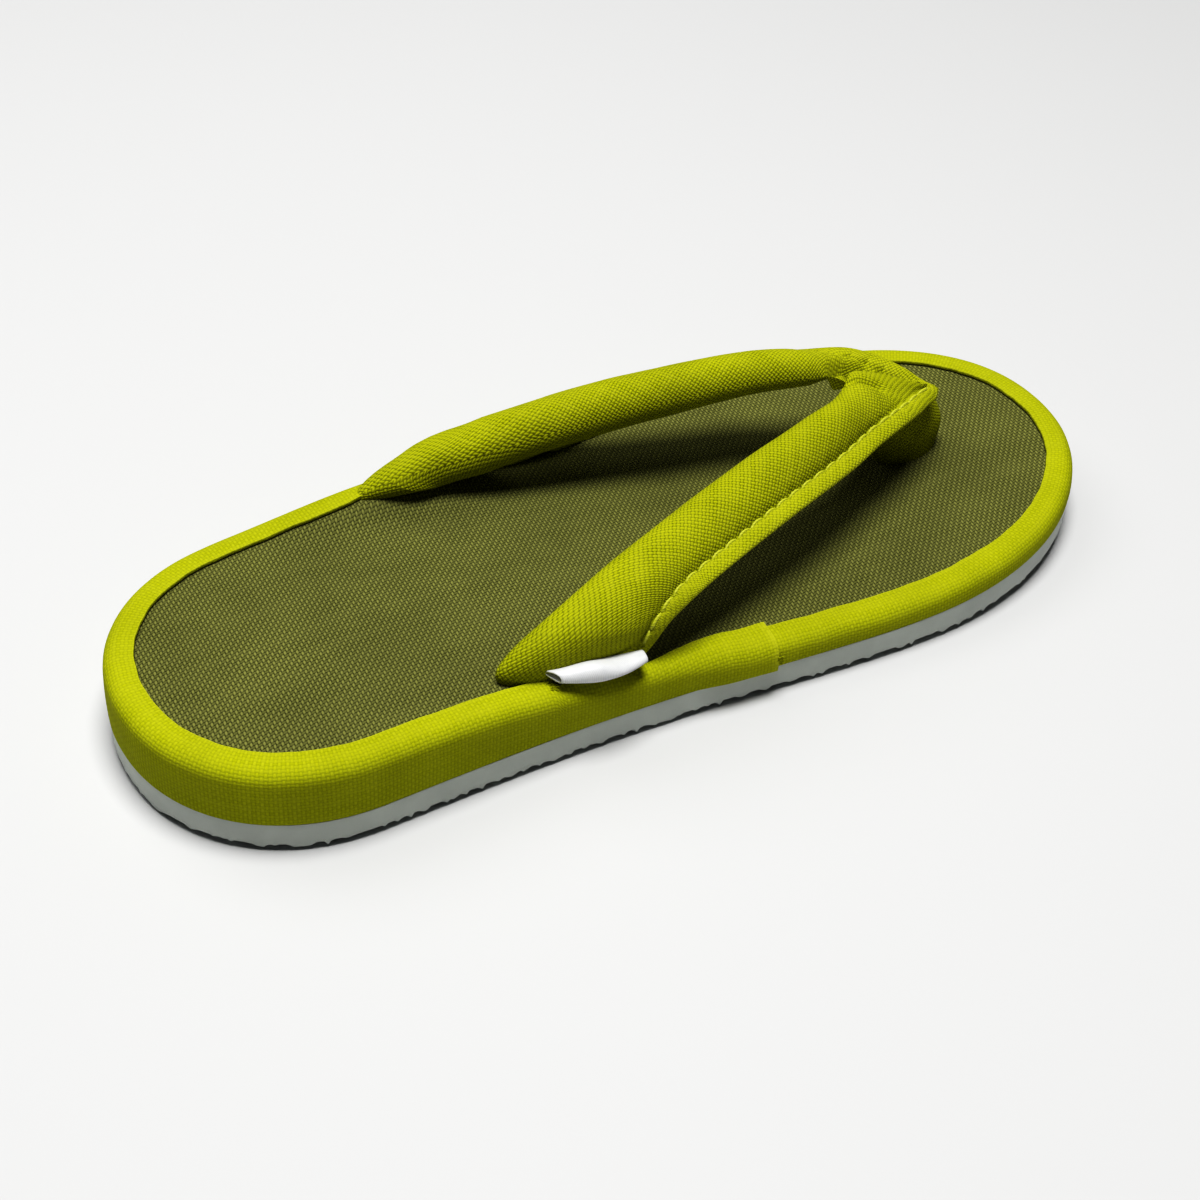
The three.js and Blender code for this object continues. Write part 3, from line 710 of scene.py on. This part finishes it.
def strap_sections(side):
    """Points of one arm's cloth, how worn each is, and the line of the thread along its seam."""
    inner, across, up, width, seam_width, thickness = strap_frame(side)
    tube = width - seam_width
    groove_line = inner + across * tube[:, None]
    run = np.concatenate([[0], np.cumsum(np.linalg.norm(np.diff(groove_line, axis=0), axis=1))])
    puff = np.abs(np.sin(np.pi * run / STITCH_PITCH)) ** 0.7
    fullest = FULL_BACK / (FULL_BACK + FULL_SEAM)
    bow_top = fullest**FULL_BACK * (1 - fullest) ** FULL_SEAM
    half_seam = SEAM_THICKNESS / 2
    fullness = FULL_UNDER[side]
    under = np.interp(np.linspace(0, 1, len(width)), np.linspace(0, 1, len(fullness)), fullness)

    def chain(sign):
        """Across one face: the stuffed tube, then the flat seam drawn in at each stitch."""
        full = thickness / 2 * (1 if sign > 0 else under)
        out = []
        for step in range(TUBE_STEPS + 1):
            q = 0.5 - 0.5 * math.cos(math.pi * step / TUBE_STEPS)
            bow = q**FULL_BACK * (1 - q) ** FULL_SEAM / bow_top
            low = half_seam * GROOVE_SHARE if q > fullest else 0
            drawn = np.exp(-(((1 - q) * tube / PUCKER_REACH) ** 2)) * (q > fullest)
            set_back = SCALLOP * puff * np.exp(-(((1 - q) * tube / SCALLOP_REACH) ** 2))
            out.append((q * tube - set_back, np.maximum(full * bow, low) - PUCKER * (1 - puff) * drawn, 0))
        for share, lifted, worn in FLANGE:
            near = math.exp(-((share / SEAM_REACH) ** 2))
            rise = half_seam * lifted - PUCKER * (1 - puff) * near + SEAM_PUFF * puff * near
            out.append((tube + share * seam_width - SCALLOP * puff * near, rise, worn))
        return [(o, sign * r, w) for o, r, w in out]

    outline = chain(1) + chain(-1)[::-1]
    spread = [[np.broadcast_to(value, width.shape) for value in row] for row in outline]
    over, rise, worn = (np.stack(column, axis=1) for column in zip(*spread))
    points = inner[:, None] + across[:, None] * over[..., None] + up[:, None] * rise[..., None]
    dents = np.array([noise.noise(Vector(p) / DENT_SIZE) for p in points.reshape(-1, 3)]).reshape(over.shape)
    swelling = np.clip(np.abs(rise) / DENT_FULL_AT, 0, 1)
    points = points + up[:, None] * (np.sign(rise) * swelling * DENT_DEPTH * dents)[..., None]
    raised = up[:, None] * np.clip(rise / CREASE_FULL_AT, 0, 1)[..., None]
    under_too = eased(points[..., 0], from_heel(FOLD_UNDER[0]), from_heel(FOLD_UNDER[1]))
    folded = up[:, None] * np.where(rise > 0, 1, under_too)[..., None]
    for arm_side, path, trough_width, depth in CREASES:
        if arm_side == side:
            points = press(points, raised if depth < FOLD_DEPTH else folded, path, trough_width, depth)
    thread = groove_line + across * (THREAD_SET - SCALLOP * puff * 0.8)[:, None]
    thread = thread + up * (half_seam * 0.85 - THREAD_DIP * (1 - puff) ** 1.5 + THREAD_PROUD)[:, None]
    return points, worn, thread


# Painted shade: the darker gap colour is the shade in the openings between the bias threads.
bias_canvas = canvas("lime_canvas_bias", LIME_WARP, LIME_WEFT_SHADED, gap=(0.120, 0.132, 0.001, 1), pale=LIME_PALE,
                     pitch=(LIME_PITCH, LIME_PITCH), turn=math.radians(45))
arms, threads = [], []
for side in (1, -1):
    points, worn, thread = strap_sections(side)
    threads.append(thread)
    arm = laid_grid("strap_left" if side > 0 else "strap_right", points, worn)
    close_up(arm)
    arm.data.materials.append(bias_canvas)
    arms.append(arm)
strap = join("strap_stuffed", arms)
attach(strap, "root")
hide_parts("strap")

# Strap stitching: one row of thick thread, a little paler than the canvas, along the inside of each flat seam.
# It is sewn through both plies and sinks out of sight at each needle hole.
THREAD_RADIUS = 0.00040
TWIST_ALONG = 0.0009
TWIST_ROUND = 0.0016
# Shares of an arm's length where its thread starts and where, left then right, it ends
THREAD_FROM = 0.1
THREAD_TO = (0.6, 0.97)
yarn, tree, surface = shader("pale_thread")
cloth = put(tree, "TexCoord").outputs["UV"]
apart = put(tree, "SeparateXYZ", [cloth]).outputs
twist = sums(tree, "ADD", sums(tree, "MULTIPLY", apart[0], 2 * math.pi / TWIST_ALONG),
             sums(tree, "MULTIPLY", apart[1], 2 * math.pi / TWIST_ROUND))
plies = sums(tree, "MULTIPLY_ADD", sums(tree, "SINE", twist), 0.5, 0.5)
# Painted shade: the colour darkens in the grooves of the twist, where the bump lies low.
tree.links.new(blend(tree, plies, (0.37, 0.395, 0.008, 1), (0.48, 0.505, 0.025, 1)), surface.inputs["Base Color"])
tree.links.new(between(tree, plies, 0.0, 1.0, 0.75, 0.6), surface.inputs["Roughness"])
bump = put(tree, "Bump", {"Strength": 0.5, "Distance": 0.0001, "Height": plies})
tree.links.new(bump.outputs[0], surface.inputs["Normal"])
seams = []
for side, thread, last in zip(("left", "right"), threads, THREAD_TO):
    sewn = thread[int(THREAD_FROM * STRAP_STEPS):int(last * STRAP_STEPS)]
    seams.append(cord("seam_" + side, sewn, THREAD_RADIUS))
    seams[-1].data.materials.append(yarn)
stitching = join("strap_stitching", seams)
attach(stitching, "root")

# Toe post: a short stuffed tube of the same canvas, gathered and sewn to the underside of the strap's point.
# Its lower end is let into a slit in the footbed.
# Rows up the tube: centre x from the heel end, length, width, height (mm)
POST_ROWS = [
    (224, 19, 11, 11.2),
    (224, 19.5, 11.5, 16),
    (223.5, 22, 13, 24),
    (222, 20, 12.5, 30),
    (221.5, 9, 7, 37),
]
POST_SIDES = 64
POST_STEPS = 40
stations = smooth_line(np.array(POST_ROWS, float) / 1000, np.linspace(0, 1, POST_STEPS + 1))
turns = np.linspace(0, 2 * np.pi, POST_SIDES + 1)
sections = np.empty((len(turns), len(stations), 3))
sections[..., 0] = stations[:, 0] - SOLE_LENGTH / 2 + np.cos(turns)[:, None] * stations[:, 1] / 2
sections[..., 1] = np.sin(turns)[:, None] * stations[:, 2] / 2
sections[..., 2] = stations[:, 3]
sections[-1] = sections[0]
post = laid_grid("toe_post_stuffed", sections)
close_up(post)
post.data.materials.append(bias_canvas)
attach(post, "root")
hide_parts("toe_post")

# Side tag: a short white satin tape folded into a loop, sewn into the slit at the right-hand root.
# It lies flat on the binding, open at its heel end, and is left blank.
TAG_HEEL_END = (0.0894, -0.0377)
TAG_TOE_END = (0.1140, -0.0414)
TAG_HEIGHTS = (0.0246, 0.0236)
TAG_SKEW = 0.0055
TAG_REACH = 0.0076
TAG_PLY = 0.00045
TAG_OPENING = 0.0020
TAG_PUFF, TAG_PUFF_AT, TAG_PUFF_RUN = 0.0022, 0.38, 0.22
TAG_UPPER_SHARE = 0.75
TAG_BOW = (0.5, 1.228, -1.308)
TAG_SAG = math.radians(6)
TAG_RIB = 0.00045
TAG_STEPS = 48
heel_end = np.array([from_heel(TAG_HEEL_END[0]), TAG_HEEL_END[1], TAG_HEIGHTS[0]])
toe_end = np.array([from_heel(TAG_TOE_END[0]), TAG_TOE_END[1], TAG_HEIGHTS[1]])
run_axis = (toe_end - heel_end) / np.linalg.norm(toe_end - heel_end)
out_axis = np.array([run_axis[1], -run_axis[0], 0]) * math.cos(TAG_SAG) - np.array([0, 0, math.sin(TAG_SAG)])
rise_axis = np.cross(run_axis, out_axis)
rise_axis *= np.sign(rise_axis[2])
shares = np.linspace(0, 1, TAG_STEPS + 1)
reach = TAG_REACH * (TAG_BOW[0] + TAG_BOW[1] * shares + TAG_BOW[2] * shares**2)
opening = TAG_OPENING * (1 - 0.5 * shares) + TAG_PUFF * np.exp(-(((shares - TAG_PUFF_AT) / TAG_PUFF_RUN) ** 2))
sections = []
for reached, raised in [(0, 0.3), (0.25, 0.75), (0.5, 1.0), (0.7, 1.0), (0.85, 0.88), (0.95, 0.55), (1, 0)]:
    sections.append((reached * reach, raised * opening * TAG_UPPER_SHARE))
sections += [(out, -rise / 3) for out, rise in sections[-2::-1]]
loop = []
for out, rise in sections:
    cut_back = TAG_SKEW * (1 - shares) * out / TAG_REACH
    along = heel_end + shares[:, None] * (toe_end - heel_end) + cut_back[:, None] * run_axis
    loop.append(along + out[:, None] * out_axis + rise[:, None] * rise_axis)
loop = np.stack(loop, axis=1)
tag = laid_grid("side_tag_tape", loop)
bpy.ops.object.shade_smooth()
ply = tag.modifiers.new("ply", "SOLIDIFY")
ply.thickness, ply.offset = TAG_PLY, 0
bpy.ops.object.modifier_apply(modifier="ply")
satin, tree, surface = shader("white_satin")
cloth = put(tree, "TexCoord").outputs["UV"]
apart = put(tree, "SeparateXYZ", [cloth]).outputs
ribs = sums(tree, "SINE", sums(tree, "MULTIPLY", apart[0], 2 * math.pi / TAG_RIB))
cloud = put(tree, "TexNoise", {"Vector": cloth, "Scale": 260.0, "Detail": 3.0}).outputs["Fac"]
# Painted shade: the tape is greyer where its bump lies low and lighter on the raised parts.
tree.links.new(blend(tree, cloud, (0.62, 0.63, 0.64, 1), (0.80, 0.80, 0.80, 1)), surface.inputs["Base Color"])
tree.links.new(between(tree, cloud, 0.2, 0.8, 0.35, 0.5), surface.inputs["Roughness"])
relief = sums(tree, "MULTIPLY_ADD", ribs, 0.15, cloud)
bump = put(tree, "Bump", {"Strength": 0.4, "Distance": 0.0003, "Height": relief})
tree.links.new(bump.outputs[0], surface.inputs["Normal"])
tag.data.materials.append(satin)
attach(tag, "root")
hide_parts("side_tag")

# Floor, light and camera: a pale sheet, a soft lamp overhead, a broader and weaker one beyond the far side,
# and a camera at the photograph's place. A tone curve gives the picture its contrast.
bpy.ops.object.select_all(action="DESELECT")
bpy.ops.mesh.primitive_plane_add(size=6)
floor = bpy.context.object
floor.name = "floor"
pale, tree, surface = shader("pale_floor")
cloud = put(tree, "TexNoise", {"Vector": put(tree, "TexCoord").outputs["Object"], "Scale": 3.0}).outputs["Fac"]
tree.links.new(blend(tree, cloud, (0.575, 0.575, 0.57, 1), (0.59, 0.59, 0.585, 1)), surface.inputs["Base Color"])
surface.inputs["Roughness"].default_value = 0.7
floor.data.materials.append(pale)

world = bpy.context.scene.world or bpy.data.worlds.new("sky")
bpy.context.scene.world = world
world.use_nodes = True
world.node_tree.nodes["Background"].inputs["Color"].default_value = (0.95, 0.97, 1.0, 1)
world.node_tree.nodes["Background"].inputs["Strength"].default_value = 0.03

LAMPS = [
    {"name": "softbox", "size": 0.55, "power": 22.3, "place": (-0.04, -0.06, 1.30)},
    {"name": "far_fill", "size": 1.0, "power": 5.0, "place": (-0.30, 0.65, 0.95)},
]
for given in LAMPS:
    lamp = bpy.data.lights.new(given["name"], "AREA")
    lamp.shape, lamp.size, lamp.energy = "DISK", given["size"], given["power"]
    hung = bpy.data.objects.new(given["name"], lamp)
    bpy.context.scene.collection.objects.link(hung)
    hung.location = given["place"]
    hung.rotation_euler = (-hung.location).to_track_quat("-Z", "Y").to_euler()

view = bpy.data.cameras.new("camera")
view.lens, view.sensor_width = 66, 36
camera = bpy.data.objects.new("camera", view)
bpy.context.scene.collection.objects.link(camera)
camera.location = (-0.2415, -0.3520, 0.3749)
camera.rotation_euler = [math.radians(turn) for turn in (48.508, -2.602, -31.469)]
bpy.context.scene.camera = camera
shown = bpy.context.scene.view_settings
shown.view_transform = "Standard"
shown.use_curve_mapping = True
tone = shown.curve_mapping
for place in ((0.05, 0.026), (0.2, 0.155), (0.5, 0.53)):
    tone.curves[3].points.new(*place)
tone.update()
